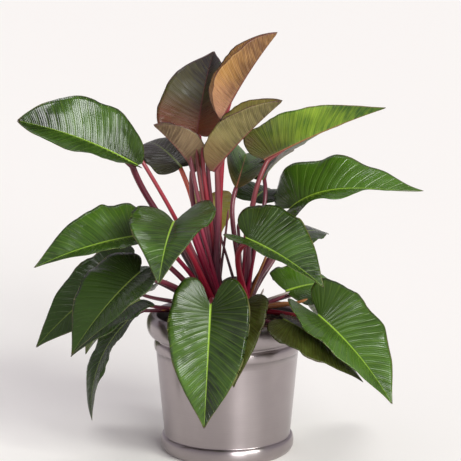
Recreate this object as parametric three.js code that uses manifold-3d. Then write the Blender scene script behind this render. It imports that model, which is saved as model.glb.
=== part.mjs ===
// Potted imperial red philodendron: two short crowns with their leaves, in a rolled-lip metal pot.
// Millimetres, +Z up. The origin is the centre of the pot's flat underside, on the surface it stands on.
// The plant is seen from -Y, with +X to the right, and a leaf is named for the side it grows to.
import * as THREE from "three";
import { mergeVertices } from "three/addons/utils/BufferGeometryUtils.js";
import Module from "manifold-3d";

const wasm = await Module();
wasm.setup();

// Driving dimensions of the pot, as radii and heights
const POT = {
  base: 106,
  foot: 116.5,
  footHeight: 29,
  waist: 110.5,
  shoulder: 124,
  shoulderHeight: 180,
  bead: 128.5,
  beadHeight: 198,
  lip: 140,
  lipBottom: 203,
  height: 243,
  mouth: 121.5,
  wall: 3,
  floor: 6,
};
const POT_SIDES = 32;

// Soil, heaped a little round the crowns, and the clear gap kept between touching pieces
const SOIL = { level: 222, heap: 8, shoulder: 12, slope: 60, sides: 32 };
const SEAT = 0.35;

// Crowns: the short thick stems that carry the leaves, rooted in the soil
const CROWN = { radius: 14, root: 150, top: 276, sides: 12 };
const CROWNS = {
  west: [-24, 8],
  east: [28, 8],
};

// Blades
const BLADE_THICKNESS = 0.9;
const RIB_HALF_WIDTH = 3;
const RIB_DEPTH = 2.2;
const FOLD_LINE = 0.55;
const VEIN_SWEEP = 1.2;
const BLADE_COLUMNS = 7;
const LOBE_SHARE = 0.17;
const LOBE_START = 0.06;

// Half of a blade as rows along its veins. Each row runs from a station on the midrib to a point
// of the margin: station along the midrib, margin point across, margin point along.
// Stations and lengths are shares of the blade's length, and widths are shares of half its width.
const VEIN_ROWS = {
  heart: [
    [0.0, 0.17, -0.1],
    [0.014, 0.48, -LOBE_SHARE],
    [0.03, 0.8, -0.11],
    [0.055, 0.97, 0.02],
    [0.11, 1.0, 0.18],
    [0.2, 0.95, 0.34],
    [0.33, 0.81, 0.5],
    [0.49, 0.6, 0.66],
    [0.68, 0.34, 0.81],
    [0.86, 0.12, 0.93],
    [0.985, 0.012, 1.0],
  ],
  arrow: [
    [0.0, 0.15, -0.09],
    [0.014, 0.4, -0.15],
    [0.03, 0.66, -0.13],
    [0.055, 0.88, -0.07],
    [0.1, 1.0, 0.05],
    [0.18, 0.95, 0.2],
    [0.3, 0.78, 0.38],
    [0.46, 0.54, 0.58],
    [0.66, 0.3, 0.78],
    [0.85, 0.12, 0.92],
    [0.985, 0.012, 1.0],
  ],
  oblong: [
    [0.0, 0.12, -0.03],
    [0.014, 0.36, -0.01],
    [0.04, 0.62, 0.05],
    [0.09, 0.82, 0.14],
    [0.16, 0.95, 0.26],
    [0.26, 1.0, 0.38],
    [0.38, 0.98, 0.52],
    [0.52, 0.86, 0.67],
    [0.69, 0.6, 0.81],
    [0.86, 0.28, 0.93],
    [0.985, 0.012, 1.0],
  ],
  wedge: [
    [0.0, 0.09, -0.01],
    [0.014, 0.21, 0.01],
    [0.04, 0.42, 0.05],
    [0.09, 0.7, 0.13],
    [0.16, 0.92, 0.24],
    [0.26, 1.0, 0.37],
    [0.38, 0.96, 0.52],
    [0.52, 0.82, 0.67],
    [0.69, 0.57, 0.81],
    [0.86, 0.26, 0.93],
    [0.985, 0.012, 1.0],
  ],
};

// Each leaf by its joint and tip. Arch lifts the midrib over its chord, hook moves that lift to the tip.
// Roll tips the upper face to the leaf's right-hand side, fold raises the left and right halves,
// and curl turns the margins up, all in degrees. Wave is the margin's height and its number of waves.
// Twist is the roll added from joint to tip. Lobes scales how far the left and right lobes of a
// heart-shaped or arrow-shaped blade run back past its joint, and ears lifts their far ends.
// Foot is where the petiole leaves its crown: its bearing in degrees from +X and its height.
// Lean stands in for the petiole's arrival angle where a leaf has its own.
const LEAVES = [
  {
    name: "top_copper", crown: "west", joint: [-9, 0, 581], tip: [86, 10, 727], width: 104, arch: 5,
    roll: 0, fold: [62, 62], curl: 8, wave: [2, 2], foot: [40, 268], neck: 4.4, lean: 20, shape: "wedge",
    blade: "copper", stalk: "red",
  },
  {
    name: "top_dark", crown: "west", joint: [-53, 104, 542], tip: [-24, 200, 681], width: 156, arch: 10,
    roll: 0, fold: [30, 34], curl: 6, wave: [2, 2], foot: [110, 268], neck: 4.4, shape: "heart",
    lobes: [0.3, 0.3], blade: "brown", stalk: "red",
  },
  {
    name: "olive_right", crown: "west", joint: [-24, -44, 497], tip: [92, -90, 621], width: 120, arch: 4,
    roll: 0, fold: [62, 36], curl: 8, wave: [2, 2], foot: [290, 268], neck: 4.4, shape: "wedge",
    blade: "olive", stalk: "rose",
  },
  {
    name: "olive_left", crown: "west", joint: [-54, 8, 489], tip: [-125, -22, 573], width: 92, arch: 4,
    roll: -4, fold: [54, 50], curl: 6, wave: [1.5, 2], foot: [215, 268], neck: 4.2, shape: "wedge",
    blade: "umber", stalk: "rose",
  },
  {
    name: "west_high", crown: "west", joint: [-151, -50, 507], tip: [-349, -74, 586], width: 148,
    arch: 12, roll: -34, fold: [42, 26], curl: -10, wave: [3, 3], foot: [190, 254], neck: 5.5, twist: -26,
    shape: "oblong", blade: "green", stalk: "burgundy",
  },
  {
    name: "back_left", crown: "west", joint: [-80, 44, 492], tip: [-146, 190, 516], width: 98, arch: 14,
    roll: -24, fold: [16, 4], curl: -6, wave: [3, 3], foot: [140, 254], neck: 4.2, shape: "heart",
    lobes: [0.3, 0.3], blade: "dark", stalk: "coral",
  },
  {
    name: "west_mid", crown: "west", joint: [-150, -66, 390], tip: [-318, -140, 350], width: 132,
    arch: 12, roll: -38, fold: [42, 22], curl: -8, wave: [3, 3], foot: [205, 244], neck: 4.2,
    shape: "heart", lobes: [0.7, 0.7], blade: "green", stalk: "burgundy",
  },
  {
    name: "centre_hang", crown: "west", joint: [-87, -120, 424], tip: [-108, -250, 346], width: 150,
    arch: 14, roll: 0, fold: [24, 18], curl: -18, wave: [3, 3], foot: [245, 254], neck: 4.4, ears: 14,
    shape: "arrow", lobes: [1.7, 1.0], blade: "green", stalk: "red",
  },
  {
    name: "west_low", crown: "west", joint: [-143, -142, 343], tip: [-250, -226, 225], width: 154,
    arch: 12, roll: -22, fold: [34, 2], curl: -8, wave: [3, 3], foot: [232, 244], neck: 4.2,
    lobes: [0.6, 1], shape: "heart", blade: "dark", stalk: "burgundy",
  },
  {
    name: "west_low_back", crown: "west", joint: [-176, 4, 318], tip: [-329, -40, 190], width: 126,
    arch: 12, roll: -36, fold: [10, 10], curl: -8, wave: [3, 3], foot: [172, 242], neck: 3.8,
    shape: "heart", blade: "dark", stalk: "burgundy",
  },
  {
    name: "west_low_under", crown: "west", joint: [-145, -100, 288], tip: [-256, -182, 210], width: 84,
    arch: 10, roll: -6, fold: [4, 4], curl: -6, wave: [3, 3], foot: [222, 238], neck: 2.8, shape: "heart",
    lobes: [0.2, 0.2], blade: "dark", stalk: "burgundy",
  },
  {
    name: "west_hanging", crown: "west", joint: [-142, -52, 264], tip: [-230, -88, 74], width: 70,
    arch: 32, roll: 0, fold: [8, 16], curl: -6, wave: [3, 3], foot: [198, 237], neck: 3, shape: "oblong",
    lobes: [0.2, 0.2], blade: "dark", stalk: "burgundy",
  },
  {
    name: "front", crown: "west", joint: [-27, -142, 289], tip: [-38, -174, 86], width: 142, arch: 8,
    roll: -20, fold: [32, 22], curl: -16, wave: [3, 3], foot: [265, 240], neck: 4.2, shape: "heart",
    lobes: [1.2, 1.2], blade: "green", stalk: "red",
  },
  {
    name: "back_yellow", crown: "west", joint: [-32, 110, 433], tip: [-12, 194, 346], width: 78, arch: 10,
    roll: 0, fold: [10, 10], curl: -6, wave: [2, 2], foot: [80, 254], neck: 3.6, shape: "heart",
    lobes: [0.5, 0.5], blade: "yellow", stalk: "burgundy",
  },
  {
    name: "back_low", crown: "west", joint: [-24, 166, 250], tip: [-44, 236, 80], width: 122, arch: 12,
    roll: 0, fold: [8, 8], curl: -8, wave: [3, 3], foot: [98, 240], neck: 3.2, shape: "heart",
    lobes: [0.9, 0.9], blade: "dark", stalk: "burgundy",
  },
  {
    name: "back_west_low", crown: "west", joint: [-152, 86, 262], tip: [-262, 170, 124], width: 124,
    arch: 14, roll: 0, fold: [10, 10], curl: -8, wave: [3, 3], foot: [146, 238], neck: 3.2,
    shape: "heart", blade: "green", stalk: "burgundy",
  },
  {
    name: "east_high", crown: "east", joint: [63, -10, 512], tip: [266, -50, 605], width: 132, arch: 6,
    roll: -34, fold: [30, 30], curl: -6, wave: [3, 3], foot: [300, 268], neck: 4.2, shape: "heart",
    lobes: [0.4, 0.4], blade: "bright", stalk: "rose",
  },
  {
    name: "east_arch", crown: "east", joint: [109, 20, 422], tip: [334, -30, 461], width: 142, arch: 30,
    hook: -8, roll: 40, fold: [26, 34], curl: -14, wave: [8, 3], foot: [15, 258], neck: 4.2, twist: -24,
    lobes: [0.6, 0.2], shape: "heart", blade: "green", stalk: "burgundy",
  },
  {
    name: "east_centre", crown: "east", joint: [31, -104, 393], tip: [158, -168, 323], width: 150,
    arch: 10, roll: 26, fold: [28, 40], curl: -8, wave: [3, 3], foot: [270, 256], neck: 4.8,
    shape: "heart", lobes: [1.2, 0.4], blade: "green", stalk: "red",
  },
  {
    name: "east_low", crown: "east", joint: [153, -96, 260], tip: [272, -176, 128], width: 154, arch: 10,
    roll: 0, fold: [38, 10], curl: -8, wave: [3, 3], foot: [318, 240], neck: 4.0, ears: 12,
    shape: "heart", lobes: [1.3, 1.3], blade: "green", stalk: "red",
  },
  {
    name: "east_low_under", crown: "east", joint: [94, -122, 260], tip: [226, -156, 160], width: 116,
    arch: 12, roll: 22, fold: [-24, 4], curl: -8, wave: [3, 3], foot: [296, 238], neck: 3, shape: "heart",
    lobes: [0.5, 0.5], blade: "dark", stalk: "rose",
  },
  {
    name: "east_mid", crown: "east", joint: [102, -6, 282], tip: [200, 100, 268], width: 104, arch: 10,
    roll: 26, fold: [16, 10], curl: -6, wave: [3, 3], foot: [345, 242], neck: 3, shape: "heart",
    lobes: [0.2, 0.2], blade: "bright", stalk: "rose",
  },
  {
    name: "front_right", crown: "east", joint: [33, -122, 292], tip: [11, -172, 155], width: 84, arch: 12,
    roll: 0, fold: [8, 8], curl: -8, wave: [2, 3], foot: [262, 242], neck: 3, shape: "heart",
    lobes: [0.5, 0.5], blade: "umber", stalk: "burgundy",
  },
  {
    name: "east_back", crown: "east", joint: [92, 62, 350], tip: [186, 190, 346], width: 100, arch: 16,
    roll: 12, fold: [10, 10], curl: -8, wave: [3, 3], foot: [40, 250], neck: 3.6, shape: "heart",
    lobes: [0.6, 0.6], blade: "green", stalk: "burgundy",
  },
  {
    name: "back_up", crown: "east", joint: [16, 40, 457], tip: [34, 190, 496], width: 104, arch: 6,
    roll: 20, fold: [42, 42], curl: 4, wave: [2, 2], foot: [110, 268], neck: 4.0, shape: "oblong",
    blade: "bright", stalk: "burgundy",
  },
  {
    name: "back_stripe", crown: "east", joint: [61, 50, 470], tip: [122, 200, 500], width: 72, arch: 6,
    roll: -30, fold: [30, 30], curl: 4, wave: [2, 2], foot: [60, 268], neck: 3.6, shape: "oblong",
    blade: "dark", stalk: "burgundy",
  },
  {
    name: "back_dark", crown: "east", joint: [46, 94, 424], tip: [100, 220, 402], width: 88, arch: 22,
    roll: 8, fold: [14, 14], curl: -8, wave: [3, 3], foot: [85, 252], neck: 3.8, shape: "heart",
    lobes: [0.3, 0.3], blade: "dark", stalk: "burgundy",
  },
  {
    name: "back_east_low", crown: "east", joint: [128, 96, 264], tip: [224, 190, 130], width: 124,
    arch: 14, roll: 0, fold: [10, 10], curl: -8, wave: [3, 3], foot: [45, 240], neck: 3.2, shape: "heart",
    blade: "green", stalk: "burgundy",
  },
];

// Petioles: round, thicker at the foot. Spread and rise are shares of the way that a petiole first
// runs out and up, approach is the share it takes to come in under its blade, and arrival is the
// angle it then makes with the midrib, in degrees.
const PETIOLE = { foot: 5.6, sides: 7, steps: 6, spread: 0.3, rise: 0.45, approach: 0.3, arrival: 40 };

// Colours of the blades, and of the petioles that carry them
const BLADES = {
  green: 0x3c6e2d,
  bright: 0x568a2c,
  dark: 0x2c4426,
  brown: 0x43392f,
  umber: 0x6d6048,
  yellow: 0x8f8430,
  olive: 0x7d7341,
  copper: 0xaa7832,
};
const STALKS = { burgundy: 0x5a2034, red: 0xa82c40, rose: 0xa85a68, coral: 0xf08278 };

const UP = new THREE.Vector3(0, 0, 1);

// A geometry from points and triangles, without shared normals
function geometryOf(points, triangles) {
  const geometry = new THREE.BufferGeometry();
  geometry.setAttribute("position", new THREE.Float32BufferAttribute(points.flatMap((p) => p.toArray()), 3));
  geometry.setIndex(triangles.flat());
  return geometry;
}

// Solids that can be joined and cut
function solidOf(geometry) {
  const bare = geometry.clone();
  bare.deleteAttribute("normal");
  bare.deleteAttribute("uv");
  const merged = mergeVertices(bare, 1e-4);
  const solid = new wasm.Manifold(
    new wasm.Mesh({
      numProp: 3,
      vertProperties: merged.attributes.position.array,
      triVerts: new Uint32Array(merged.index.array),
    }),
  );
  return solid;
}

function geometryFromSolid(solid) {
  const mesh = solid.getMesh();
  const geometry = new THREE.BufferGeometry();
  geometry.setAttribute("position", new THREE.BufferAttribute(mesh.vertProperties, 3));
  geometry.setIndex(new THREE.BufferAttribute(mesh.triVerts, 1));
  return geometry;
}

function largestBody(solid) {
  return solid.decompose().reduce((a, b) => (b.volume() > a.volume() ? b : a));
}

// A closed solid from rings of equal count, with a flat face at both ends
function loft(rings) {
  const count = rings[0].length;
  const points = rings.flat();
  const triangles = [];
  for (let ring = 0; ring + 1 < rings.length; ring += 1) {
    for (let side = 0; side < count; side += 1) {
      const next = (side + 1) % count;
      const a = ring * count + side;
      const b = ring * count + next;
      triangles.push([a, b, b + count], [a, b + count, a + count]);
    }
  }
  const last = (rings.length - 1) * count;
  for (let side = 1; side + 1 < count; side += 1) {
    triangles.push([0, side + 1, side], [last, last + side, last + side + 1]);
  }
  return geometryOf(points, triangles);
}

// The pot: a spun metal shell with a rolled foot, a bead and a broad rolled lip
function potGeometry() {
  const outline = new THREE.Path();
  outline.moveTo(0, 0);
  outline.lineTo(POT.base, 0);
  outline.bezierCurveTo(POT.base + 6, 0, POT.foot, 7, POT.foot, 17);
  outline.bezierCurveTo(POT.foot, 24, POT.waist + 4, POT.footHeight, POT.waist, POT.footHeight);
  outline.lineTo(POT.waist, POT.footHeight + 1.5);
  outline.lineTo(POT.shoulder, POT.shoulderHeight);
  outline.bezierCurveTo(POT.bead, POT.shoulderHeight, POT.bead, POT.beadHeight, POT.shoulder, POT.beadHeight);
  outline.lineTo(POT.shoulder - 1, POT.lipBottom);
  outline.bezierCurveTo(POT.shoulder + 10, POT.lipBottom, POT.lip, POT.lipBottom + 10, POT.lip, 226);
  outline.bezierCurveTo(POT.lip, 237, POT.lip - 6, POT.height, POT.lip - 12, POT.height);
  outline.quadraticCurveTo(POT.mouth, POT.height, POT.mouth, POT.height - 8);
  outline.lineTo(POT.shoulder - POT.wall, POT.shoulderHeight);
  outline.lineTo(POT.waist - POT.wall, POT.footHeight);
  outline.lineTo(POT.base - POT.wall, POT.floor);
  outline.lineTo(0, POT.floor);
  return new THREE.LatheGeometry(outline.getPoints(3), POT_SIDES).rotateX(Math.PI / 2);
}

// The soil fills the pot to under the lip, with a plain hole for each crown
function soilGeometry() {
  const low = POT.base - POT.wall - 1;
  const high = POT.mouth - 1.2;
  const outline = [
    [0, POT.floor + SEAT],
    [low, POT.floor + SEAT],
    [POT.waist - POT.wall - 1, POT.footHeight],
    [POT.shoulder - POT.wall - 1.2, POT.shoulderHeight],
    [high, SOIL.level - 3],
    [high - SOIL.shoulder, SOIL.level],
    [SOIL.slope, SOIL.level + SOIL.heap * 0.6],
    [0, SOIL.level + SOIL.heap],
  ].map(([radius, height]) => new THREE.Vector2(radius, height));
  const body = solidOf(new THREE.LatheGeometry(outline, SOIL.sides).rotateX(Math.PI / 2));
  const holes = Object.values(CROWNS).map((place) => solidOf(crownGeometry(place, SEAT)));
  return geometryFromSolid(holes.reduce((left, hole) => left.subtract(hole), body));
}

// A crown, grown by the clearance where it cuts another piece
function crownGeometry([x, y], clearance = 0) {
  const { radius, root, top } = CROWN;
  const outline = [
    [0, root - clearance],
    [radius - 3 + clearance, root - clearance],
    [radius + clearance, root + 60],
    [radius + clearance, top - 22],
    [radius * 0.72 + clearance, top - 6],
    [radius * 0.4 + clearance, top + clearance],
    [0, top + clearance],
  ].map(([r, z]) => new THREE.Vector2(r, z));
  return new THREE.LatheGeometry(outline, CROWN.sides).rotateX(Math.PI / 2).translate(x, y, 0);
}

// The surface of one leaf: a point given flat, across and along the blade, set in space
function leafSurface(leaf) {
  const joint = new THREE.Vector3(...leaf.joint);
  const chord = new THREE.Vector3(...leaf.tip).sub(joint);
  const length = chord.length();
  const along = chord.clone().normalize();
  const roll = THREE.MathUtils.degToRad(leaf.roll);
  const side = along.clone().cross(UP).normalize().applyAxisAngle(along, roll);
  const face = side.clone().cross(along);
  const half = leaf.width / 2;

  const midrib = (u) => {
    const lift = 4 * leaf.arch * u * (1 - u) + 10.4 * (leaf.hook ?? 0) * u * (1 - u) * (2 * u - 1);
    return joint.clone().addScaledVector(chord, u).addScaledVector(face, lift);
  };
  const twist = THREE.MathUtils.degToRad(leaf.twist ?? 0);
  const place = (across, y) => {
    const u = y / length;
    const tangent = midrib(u + 0.01).sub(midrib(u - 0.01)).normalize();
    const outward = side.clone().applyAxisAngle(along, twist * u);
    const up = outward.clone().cross(tangent).normalize();
    const reach = Math.abs(across);
    const right = across > 0 ? 1 : 0;
    const start = THREE.MathUtils.degToRad(leaf.fold[right]);
    const bend = THREE.MathUtils.degToRad(leaf.curl) / half + 1e-5;
    const out = (Math.sin(start + bend * reach) - Math.sin(start)) / bend;
    const raise = (Math.cos(start) - Math.cos(start + bend * reach)) / bend;
    const [height, waves] = leaf.wave;
    const ripple = height * (reach / half) ** 2 * Math.sin(2 * Math.PI * (waves * u + 0.4 * right));
    const past = Math.max(0, LOBE_START - u) / (LOBE_START + LOBE_SHARE);
    const lobe = (leaf.ears ?? 0) * (reach / half) * past ** 1.5;
    return midrib(u)
      .addScaledVector(outward, Math.sign(across) * out)
      .addScaledVector(up, raise + ripple + lobe);
  };
  // The upper face's direction at a point. At the midrib it halves the fold.
  const facing = (across, y) => {
    const step = 0.5;
    const forward = place(across, y + step).sub(place(across, y - step));
    const left = across > 0 ? across : across - step;
    const right = across < 0 ? across : across + step;
    return place(right, y).sub(place(left, y)).cross(forward).normalize();
  };
  return { place, facing, length, half, midrib };
}

// A blade has the same grid of triangles on both faces. The midrib stands out below it as a keel.
function bladeGeometry(leaf) {
  const { place, facing, length, half } = leafSurface(leaf);
  const upper = [];
  const lower = [];
  const columns = BLADE_COLUMNS;
  for (const [station, wide, margin] of VEIN_ROWS[leaf.shape]) {
    const edge = wide * half;
    const rib = Math.min(RIB_HALF_WIDTH * (1 - 0.7 * station), edge * 0.5);
    const crossings = [-edge, -edge * FOLD_LINE, -rib, 0, rib, edge * FOLD_LINE, edge];
    for (const across of crossings) {
      const share = Math.abs(across) / edge;
      const lobe = (leaf.lobes ?? [1, 1])[across > 0 ? 1 : 0];
      const far = margin < 0 ? margin * lobe : margin;
      const y = (station + (far - station) * share ** VEIN_SWEEP) * length;
      const here = place(across, y);
      const normal = facing(across, y);
      const keel = across === 0 ? RIB_DEPTH * (1 - 0.8 * station) : 0;
      upper.push(here.clone().addScaledVector(normal, BLADE_THICKNESS / 2));
      lower.push(here.clone().addScaledVector(normal, -BLADE_THICKNESS / 2 - keel));
    }
  }
  const rows = VEIN_ROWS[leaf.shape].length;
  const count = rows * columns;
  const triangles = [];
  const both = (a, b, c) => triangles.push([a, b, c], [a + count, c + count, b + count]);
  for (let row = 0; row + 1 < rows; row += 1) {
    for (let column = 0; column + 1 < columns; column += 1) {
      const a = row * columns + column;
      const b = a + 1;
      if (column < columns / 2 - 1) {
        both(a, b, b + columns);
        both(a, b + columns, a + columns);
      } else {
        both(a, b, a + columns);
        both(b, b + columns, a + columns);
      }
    }
  }
  const rim = [];
  for (let column = 0; column < columns; column += 1) rim.push(column);
  for (let row = 1; row < rows; row += 1) rim.push(row * columns + columns - 1);
  for (let column = columns - 2; column >= 0; column -= 1) rim.push((rows - 1) * columns + column);
  for (let row = rows - 2; row > 0; row -= 1) rim.push(row * columns);
  for (const [index, a] of rim.entries()) {
    const b = rim[(index + 1) % rim.length];
    triangles.push([a, a + count, b + count], [a, b + count, b]);
  }
  return geometryOf([...upper, ...lower], triangles);
}

// A petiole rises from its crown and ends just under the keel, at the joint of its blade
function petioleGeometry(leaf, clearance = 0) {
  const { facing, midrib } = leafSurface(leaf);
  const [x, y] = CROWNS[leaf.crown];
  const [bearing, height] = leaf.foot;
  const turn = THREE.MathUtils.degToRad(bearing);
  const outward = new THREE.Vector3(Math.cos(turn), Math.sin(turn), 0);
  const foot = new THREE.Vector3(x, y, height).addScaledVector(outward, CROWN.radius * 0.5);
  const forward = midrib(0.02).sub(midrib(0)).normalize();
  const up = facing(0, 0);
  const lean = THREE.MathUtils.degToRad(leaf.lean ?? PETIOLE.arrival);
  const arrival = forward.clone().multiplyScalar(Math.cos(lean)).addScaledVector(up, Math.sin(lean));
  const joint = midrib(0).addScaledVector(forward, leaf.neck * Math.sin(lean) + 1);
  joint.addScaledVector(up, -RIB_DEPTH - BLADE_THICKNESS / 2 - SEAT - leaf.neck * Math.cos(lean));
  const distance = joint.distanceTo(foot);
  const rise = joint.z - foot.z;
  const reach = Math.hypot(joint.x - foot.x, joint.y - foot.y);
  const start = foot.clone().addScaledVector(outward, reach * PETIOLE.spread);
  start.addScaledVector(UP, Math.max(rise, reach * PETIOLE.spread) * PETIOLE.rise);
  const end = joint.clone().addScaledVector(arrival, -distance * PETIOLE.approach);
  const curve = new THREE.CubicBezierCurve3(foot, start, end, joint);
  const { steps, sides } = PETIOLE;
  const frames = curve.computeFrenetFrames(steps);
  const roll = Math.atan2(up.dot(frames.binormals[steps]), up.dot(frames.normals[steps]));
  const rings = [];
  for (let step = 0; step <= steps; step += 1) {
    const u = step / steps;
    const centre = curve.getPointAt(u);
    const radius = leaf.neck + (PETIOLE.foot - leaf.neck) * (1 - u) ** 1.5 + clearance;
    const ring = [];
    for (let side = 0; side < sides; side += 1) {
      const angle = roll + (2 * Math.PI * side) / sides;
      const point = centre.clone();
      point.addScaledVector(frames.normals[step], radius * Math.cos(angle));
      point.addScaledVector(frames.binormals[step], radius * Math.sin(angle));
      ring.push(point);
    }
    rings.push(ring);
  }
  return loft(rings);
}

function mesh(name, geometry, color, roughness, metalness = 0) {
  const piece = new THREE.Mesh(geometry, new THREE.MeshStandardMaterial({ color, roughness, metalness }));
  piece.name = name;
  return piece;
}

const plant = new THREE.Group();
plant.add(mesh("pot", potGeometry(), 0xb4aeac, 0.35, 1));
plant.add(mesh("soil", soilGeometry(), 0x2e231c, 0.95));
for (const [side, place] of Object.entries(CROWNS)) {
  plant.add(mesh("crown_" + side, crownGeometry(place), 0x5a3028, 0.7));
}

// Petioles clasp their crown, the joint of their blade and the petioles that grew before them
const crownSolids = Object.values(CROWNS).map((place) => solidOf(crownGeometry(place, SEAT)));
const grown = [];
for (const leaf of [...LEAVES].sort((a, b) => a.foot[1] - b.foot[1])) {
  plant.add(mesh("blade_" + leaf.name, bladeGeometry(leaf), BLADES[leaf.blade], 0.35));
  const petiole = [...crownSolids, ...grown].reduce(
    (left, other) => left.subtract(other),
    solidOf(petioleGeometry(leaf)),
  );
  grown.push(solidOf(petioleGeometry(leaf, SEAT)));
  plant.add(mesh("petiole_" + leaf.name, geometryFromSolid(largestBody(petiole)), STALKS[leaf.stalk], 0.4));
}

export default plant;
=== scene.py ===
import ast
import math
import random
import textwrap
from types import SimpleNamespace

import bmesh
import bpy
from mathutils import Matrix, Vector


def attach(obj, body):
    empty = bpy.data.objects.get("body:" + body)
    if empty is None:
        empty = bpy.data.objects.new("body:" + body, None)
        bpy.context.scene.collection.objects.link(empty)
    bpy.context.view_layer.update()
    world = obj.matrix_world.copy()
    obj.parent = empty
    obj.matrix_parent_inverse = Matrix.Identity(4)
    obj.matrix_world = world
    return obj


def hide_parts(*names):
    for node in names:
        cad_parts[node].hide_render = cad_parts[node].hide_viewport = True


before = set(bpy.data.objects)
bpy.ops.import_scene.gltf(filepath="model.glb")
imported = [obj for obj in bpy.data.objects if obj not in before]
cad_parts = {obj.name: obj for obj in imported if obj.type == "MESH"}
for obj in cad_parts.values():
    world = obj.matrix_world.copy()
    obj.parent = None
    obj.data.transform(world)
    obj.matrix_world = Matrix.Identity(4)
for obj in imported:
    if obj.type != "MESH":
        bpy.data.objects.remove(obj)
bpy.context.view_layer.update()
MM = 0.001


# The pot. One sheet of aluminium, spun over a former and lacquered, with a rolled foot,
# a bead and a broad rolled lip. Fine turning lines run round it and catch the light softly.
POT = SimpleNamespace(
    base=106, foot=116.5, foot_round=17, foot_height=29, waist=110.5,
    shoulder=124, shoulder_height=180, bead=128.5, bead_height=198,
    lip=140, lip_bottom=203, lip_round=226, height=243, mouth=121.5,
    wall=3, floor=6, sides=192,
)


def linear(colour):
    """An sRGB hex colour as linear values."""
    parts = [int(colour[i : i + 2], 16) / 255 for i in (1, 3, 5)]
    return [c / 12.92 if c <= 0.04045 else ((c + 0.055) / 1.055) ** 2.4 for c in parts] + [1]


def add(tree, kind, values=(), **settings):
    """Adds a node with its settings, and links or sets its inputs."""
    made = tree.nodes.new(kind)
    for name, value in settings.items():
        setattr(made, name, value)
    for name, value in dict(values).items():
        if isinstance(value, bpy.types.NodeSocket):
            tree.links.new(value, made.inputs[name])
        else:
            made.inputs[name].default_value = value
    return made


OPERATIONS = {
    ast.Add: "ADD",
    ast.Sub: "SUBTRACT",
    ast.Mult: "MULTIPLY",
    ast.Div: "DIVIDE",
    ast.Pow: "POWER",
    "sin": "SINE",
    "cos": "COSINE",
    "abs": "ABSOLUTE",
    "sign": "SIGN",
    "sqrt": "SQRT",
    "least": "MINIMUM",
    "most": "MAXIMUM",
    "cross": "CROSS_PRODUCT",
    "dot": "DOT_PRODUCT",
    "unit": "NORMALIZE",
}


def work_out(tree, known, text):
    """Turns lines of arithmetic on known numbers and sockets into nodes, and makes their names known."""

    def join(operation, values):
        vectors = [isinstance(v, bpy.types.NodeSocket) and v.type == "VECTOR" for v in values]
        if not any(vectors):
            return add(tree, "ShaderNodeMath", dict(enumerate(values)), operation=operation).outputs[0]
        if operation == "MULTIPLY" and not all(vectors):
            vector, scale = values if vectors[0] else values[::-1]
            return add(tree, "ShaderNodeVectorMath", {0: vector, 3: scale}, operation="SCALE").outputs[0]
        made = add(tree, "ShaderNodeVectorMath", dict(enumerate(values)), operation=operation)
        return made.outputs["Value" if operation == "DOT_PRODUCT" else "Vector"]

    def build(part):
        if isinstance(part, ast.Constant):
            return float(part.value)
        if isinstance(part, ast.Name):
            return known[part.id]
        if isinstance(part, ast.Call):
            return join(OPERATIONS[part.func.id], [build(value) for value in part.args])
        return join(OPERATIONS[type(part.op)], [build(part.left), build(part.right)])

    for line in ast.parse(textwrap.dedent(text)).body:
        known[line.targets[0].id] = build(line.value)


def formula(tree, text, **known):
    """The socket that holds the value of one line of arithmetic."""
    work_out(tree, known, "value = " + text)
    return known["value"]


def finish_named(name, settings):
    """A new material with the fixed settings of its Principled shader."""
    material = bpy.data.materials.new(name)
    material.use_nodes = True
    shader = material.node_tree.nodes["Principled BSDF"]
    for label, value in settings.items():
        shader.inputs[label].default_value = value
    return material, material.node_tree, shader


def spun(name, profile, sides, material):
    """A closed mesh, spun round Z from a profile that starts and ends on the axis. Millimetres."""
    shape = bmesh.new()
    rings = []
    for radius, height in profile:
        turns = [2 * math.pi * i / sides for i in range(sides if radius else 1)]
        circle = [Vector((radius * math.cos(a), radius * math.sin(a), height)) * MM for a in turns]
        rings.append([shape.verts.new(spot) for spot in circle])
    for low, high in zip(rings, rings[1:]):
        for i in range(sides):
            corners = [ring[k % len(ring)] for ring, k in ((low, i), (low, i + 1), (high, i + 1), (high, i))]
            shape.faces.new(list(dict.fromkeys(corners)))
    for face in shape.faces:
        face.smooth = True
    bmesh.ops.recalc_face_normals(shape, faces=shape.faces)
    mesh = bpy.data.meshes.new(name)
    shape.to_mesh(mesh)
    shape.free()
    mesh.materials.append(material)
    piece = bpy.data.objects.new(name, mesh)
    bpy.context.scene.collection.objects.link(piece)
    return piece


def bend_on(profile, one, two, end, steps):
    """Carries a profile on from its last point, along a cubic curve past two control points."""
    start = profile[-1]
    for step in range(1, steps + 1):
        t = step / steps
        weights = (1 - t) ** 3, 3 * t * (1 - t) ** 2, 3 * t * t * (1 - t), t**3
        columns = zip(start, one, two, end)
        profile.append(tuple(sum(w * c for w, c in zip(weights, column)) for column in columns))


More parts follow.
